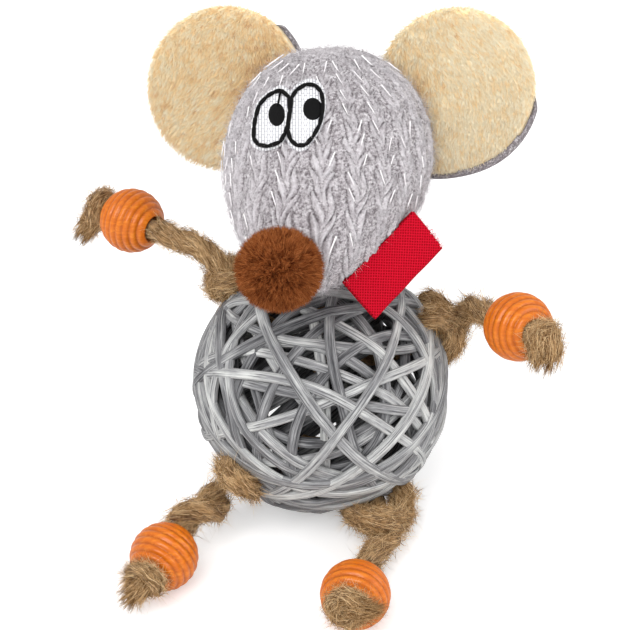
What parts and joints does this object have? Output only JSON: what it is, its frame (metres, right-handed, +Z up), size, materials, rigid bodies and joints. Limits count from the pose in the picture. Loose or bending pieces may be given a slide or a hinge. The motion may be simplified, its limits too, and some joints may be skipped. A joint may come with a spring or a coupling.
{
  "type": "mouse cat toy",
  "caption": "Mouse cat toy: stuffed knitted head with plush ears and a fur pompom nose on a hollow ball of wound cane, with jute rope arms and legs that each carry a turned wooden bead",
  "frame": {"origin": "on the floor under the centre of the ball, on the small flat where its outer cane rests", "axes": "+Z up, the mouse faces -Y, +X is the viewer's right"},
  "size_m": [0.1139, 0.1065, 0.1117],
  "materials": {
    "grey_cane": "matte",
    "jute": "matte",
    "orange_wood": "gloss",
    "grey_knit": "matte",
    "cream_plush": "matte",
    "white_wadding": "matte",
    "white_thread": "satin",
    "black_thread": "satin",
    "brown_fur": "matte",
    "red_ribbon": "satin"
  },
  "bodies": {
    "ball": {"cane_outer": "grey_cane", "cane_second": "grey_cane", "cane_third": "grey_cane", "cane_inner": "grey_cane", "arms_rope": "jute", "legs_rope": "jute", "neck_rope": "jute"},
    "arm_left": {"arm_left_rope": "jute"},
    "arm_left_bead": {"arm_left_bead": "orange_wood"},
    "arm_right": {"arm_right_rope": "jute"},
    "arm_right_bead": {"arm_right_bead": "orange_wood"},
    "leg_left": {"leg_left_rope": "jute"},
    "leg_left_bead": {"leg_left_bead": "orange_wood"},
    "leg_right": {"leg_right_rope": "jute"},
    "leg_right_bead": {"leg_right_bead": "orange_wood"},
    "head": {"head_cover": "grey_knit", "head_filling": "white_wadding", "nose_pompom": "brown_fur", "nose_thread": "brown_fur", "eye_left_outline": "black_thread", "eye_left_white": "white_thread", "eye_left_pupil": "black_thread", "eye_right_outline": "black_thread", "eye_right_white": "white_thread", "eye_right_pupil": "black_thread"},
    "ear_left": {"ear_left_front": "cream_plush", "ear_left_back": "grey_knit", "ear_left_wadding": "white_wadding"},
    "ear_right": {"ear_right_front": "cream_plush", "ear_right_back": "grey_knit", "ear_right_wadding": "white_wadding"},
    "label": {"label_ribbon": "red_ribbon"}
  },
  "joints": [
    {"name": "arm_left_swing", "type": "hinge", "parent": "ball", "child": "arm_left", "pos_m": [-0.0265, 0.01225, 0.05858], "axis": [0.5892, 0.808, 0], "range_deg": [-18, 30]},
    {"name": "arm_left_bead_slide", "type": "slide", "parent": "arm_left", "child": "arm_left_bead", "axis": [0.8075, -0.5888, -0.0349], "range_m": [0, 0.008]},
    {"name": "arm_right_swing", "type": "hinge", "parent": "ball", "child": "arm_right", "pos_m": [0.03325, 0.00473, 0.0481], "axis": [-0.891, -0.454, 0], "range_deg": [-18, 30]},
    {"name": "arm_right_bead_slide", "type": "slide", "parent": "arm_right", "child": "arm_right_bead", "axis": [-0.4401, 0.8638, -0.2453], "range_m": [0, 0.008]},
    {"name": "leg_left_swing", "type": "hinge", "parent": "ball", "child": "leg_left", "pos_m": [-0.02808, -0.02282, 0.0108], "axis": [-0.8829, 0.4695, 0], "range_deg": [-35, 40]},
    {"name": "leg_left_bead_slide", "type": "slide", "parent": "leg_left", "child": "leg_left_bead", "axis": [0.458, 0.8614, 0.2195], "range_m": [0, 0.0012]},
    {"name": "leg_right_swing", "type": "hinge", "parent": "ball", "child": "leg_right", "pos_m": [0.0133, -0.02611, 0.00643], "axis": [-0.9622, 0.2723, 0], "range_deg": [-35, 40]},
    {"name": "leg_right_bead_slide", "type": "slide", "parent": "leg_right", "child": "leg_right_bead", "axis": [0.2719, 0.961, -0.0506], "range_m": [0, 0.008]},
    {"name": "head_nod", "type": "hinge", "parent": "ball", "child": "head", "pos_m": [0, 0, 0.06614], "axis": [0.9755, -0.2083, 0.0709], "range_deg": [-8, 8]},
    {"name": "ear_left_flop", "type": "hinge", "parent": "head", "child": "ear_left", "pos_m": [-0.01021, 0.0292, 0.0925], "axis": [-0.0545, 0.4142, 0.9085], "range_deg": [-12, 12], "stiffness_Nm_per_rad": 0.006},
    {"name": "ear_right_flop", "type": "hinge", "parent": "head", "child": "ear_right", "pos_m": [0.01839, 0.0231, 0.09458], "axis": [0.0919, 0.383, 0.9192], "range_deg": [-12, 12], "stiffness_Nm_per_rad": 0.006},
    {"name": "label_flap", "type": "hinge", "parent": "head", "child": "label", "pos_m": [0.01168, -0.01472, 0.07362], "axis": [0.6843, 0.5427, 0.487], "range_deg": [-20, 20], "stiffness_Nm_per_rad": 0.0001}
  ]
}
